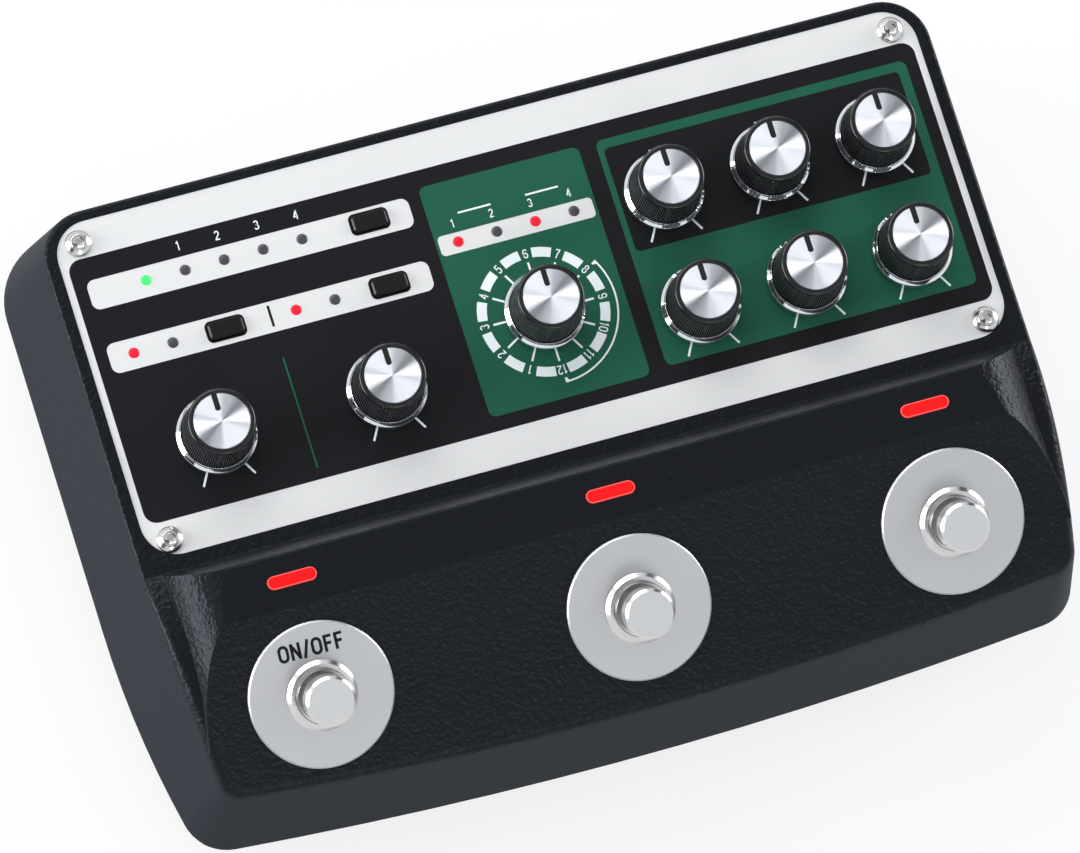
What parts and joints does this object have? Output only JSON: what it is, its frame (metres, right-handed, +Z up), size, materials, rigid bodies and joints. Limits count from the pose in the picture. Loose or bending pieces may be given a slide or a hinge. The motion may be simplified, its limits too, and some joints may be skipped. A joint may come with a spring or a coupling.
{
  "type": "tape echo unit",
  "caption": "Desktop tape echo pedal: drafted black housing with a sloped footswitch deck, a printed faceplate with knobs, keys and lamps, and rear jacks.",
  "frame": {"origin": "on the surface the unit stands on, at the centre of its outer box", "axes": "+X to the player's right, +Y away from the player towards the jacks, +Z up"},
  "size_m": [0.192, 0.1318, 0.061],
  "materials": {
    "housing": "fine leather grain, satin",
    "base": "fine leather grain, satin",
    "feet": "matte",
    "rear_panel": "moulded, fine grain",
    "faceplate": "satin white-silver, printed black, green and white",
    "plate_screws": "bright zinc",
    "steel_screws": "zinc",
    "control_bodies": "plain",
    "nickel": "polished nickel",
    "black_plastic": "moulded",
    "green_lens": "lit lens",
    "red_lens": "lit lens",
    "disc_aluminium": "satin",
    "switch_bodies": "moulded",
    "port_shell": "nickel-plated sheet",
    "circuit_board": "solder mask",
    "knob_plastic": "finely fluted",
    "cap_aluminium": "spun",
    "chrome_ring": "polished",
    "key_plastic": "polished"
  },
  "bodies": {
    "chassis": {"top_housing": "housing", "bottom_case": "base", "rubber_feet": "feet", "faceplate": "faceplate", "plate_screws": "plate_screws", "case_screws": "steel_screws", "board_screws": "steel_screws", "rear_panel": "rear_panel", "potentiometers": "control_bodies", "mode_switch": "control_bodies", "control_nuts": "nickel", "key_switches": "black_plastic", "green_led": "green_lens", "red_leds": "red_lens", "lamp_lenses": "red_lens", "footswitch_discs": "disc_aluminium", "footswitch_nuts": "nickel", "footswitch_bodies": "switch_bodies", "phone_jacks": "black_plastic", "midi_jacks": "black_plastic", "jack_nuts": "nickel", "usb_port": "port_shell", "power_inlet": "black_plastic", "panel_board": "circuit_board", "main_board": "circuit_board", "board_connector": "black_plastic"},
    "knob_bass": {"knob_bass": "knob_plastic", "knob_bass_cap": "cap_aluminium", "knob_bass_ring": "chrome_ring"},
    "knob_treble": {"knob_treble": "knob_plastic", "knob_treble_cap": "cap_aluminium", "knob_treble_ring": "chrome_ring"},
    "knob_reverb": {"knob_reverb": "knob_plastic", "knob_reverb_cap": "cap_aluminium", "knob_reverb_ring": "chrome_ring"},
    "knob_rate": {"knob_rate": "knob_plastic", "knob_rate_cap": "cap_aluminium", "knob_rate_ring": "chrome_ring"},
    "knob_intensity": {"knob_intensity": "knob_plastic", "knob_intensity_cap": "cap_aluminium", "knob_intensity_ring": "chrome_ring"},
    "knob_echo": {"knob_echo": "knob_plastic", "knob_echo_cap": "cap_aluminium", "knob_echo_ring": "chrome_ring"},
    "knob_saturation": {"knob_saturation": "knob_plastic", "knob_saturation_cap": "cap_aluminium", "knob_saturation_ring": "chrome_ring"},
    "knob_wow": {"knob_wow": "knob_plastic", "knob_wow_cap": "cap_aluminium", "knob_wow_ring": "chrome_ring"},
    "knob_mode": {"knob_mode": "knob_plastic", "knob_mode_cap": "cap_aluminium", "knob_mode_ring": "chrome_ring"},
    "memory_key": {"memory_key": "key_plastic"},
    "tape_key": {"tape_key": "key_plastic"},
    "input_key": {"input_key": "key_plastic"},
    "footswitch_left": {"footswitch_left_plunger": "nickel"},
    "footswitch_middle": {"footswitch_middle_plunger": "nickel"},
    "footswitch_right": {"footswitch_right_plunger": "nickel"}
  },
  "joints": [
    {"name": "knob_bass_turn", "type": "hinge", "parent": "chassis", "child": "knob_bass", "pos_m": [0.02995, 0.03395, 0.055], "axis": [0, 0, 1], "range_deg": [-150, 150]},
    {"name": "knob_treble_turn", "type": "hinge", "parent": "chassis", "child": "knob_treble", "pos_m": [0.05185, 0.03395, 0.055], "axis": [0, 0, 1], "range_deg": [-150, 150]},
    {"name": "knob_reverb_turn", "type": "hinge", "parent": "chassis", "child": "knob_reverb", "pos_m": [0.07375, 0.03395, 0.055], "axis": [0, 0, 1], "range_deg": [-150, 150]},
    {"name": "knob_rate_turn", "type": "hinge", "parent": "chassis", "child": "knob_rate", "pos_m": [0.02995, 0.01, 0.055], "axis": [0, 0, 1], "range_deg": [-150, 150]},
    {"name": "knob_intensity_turn", "type": "hinge", "parent": "chassis", "child": "knob_intensity", "pos_m": [0.05185, 0.01, 0.055], "axis": [0, 0, 1], "range_deg": [-150, 150]},
    {"name": "knob_echo_turn", "type": "hinge", "parent": "chassis", "child": "knob_echo", "pos_m": [0.07375, 0.01, 0.055], "axis": [0, 0, 1], "range_deg": [-150, 150]},
    {"name": "knob_saturation_turn", "type": "hinge", "parent": "chassis", "child": "knob_saturation", "pos_m": [-0.0689, 0.01, 0.055], "axis": [0, 0, 1], "range_deg": [-150, 150]},
    {"name": "knob_wow_turn", "type": "hinge", "parent": "chassis", "child": "knob_wow", "pos_m": [-0.0344, 0.01, 0.055], "axis": [0, 0, 1], "range_deg": [-150, 150]},
    {"name": "knob_mode_turn", "type": "hinge", "parent": "chassis", "child": "knob_mode", "pos_m": [0, 0.017, 0.055], "axis": [0, 0, 1], "range_deg": [-180, 150]},
    {"name": "memory_key_press", "type": "slide", "parent": "chassis", "child": "memory_key", "axis": [0, 0, -1], "range_m": [0, 0.0008], "stiffness_N_per_m": 400},
    {"name": "tape_key_press", "type": "slide", "parent": "chassis", "child": "tape_key", "axis": [0, 0, -1], "range_m": [0, 0.0008], "stiffness_N_per_m": 400},
    {"name": "input_key_press", "type": "slide", "parent": "chassis", "child": "input_key", "axis": [0, 0, -1], "range_m": [0, 0.0008], "stiffness_N_per_m": 400},
    {"name": "footswitch_left_press", "type": "slide", "parent": "chassis", "child": "footswitch_left", "axis": [0, 0.4019, -0.9157], "range_m": [0, 0.002], "stiffness_N_per_m": 2500},
    {"name": "footswitch_middle_press", "type": "slide", "parent": "chassis", "child": "footswitch_middle", "axis": [0, 0.4019, -0.9157], "range_m": [0, 0.002], "stiffness_N_per_m": 2500},
    {"name": "footswitch_right_press", "type": "slide", "parent": "chassis", "child": "footswitch_right", "axis": [0, 0.4019, -0.9157], "range_m": [0, 0.002], "stiffness_N_per_m": 2500}
  ]
}
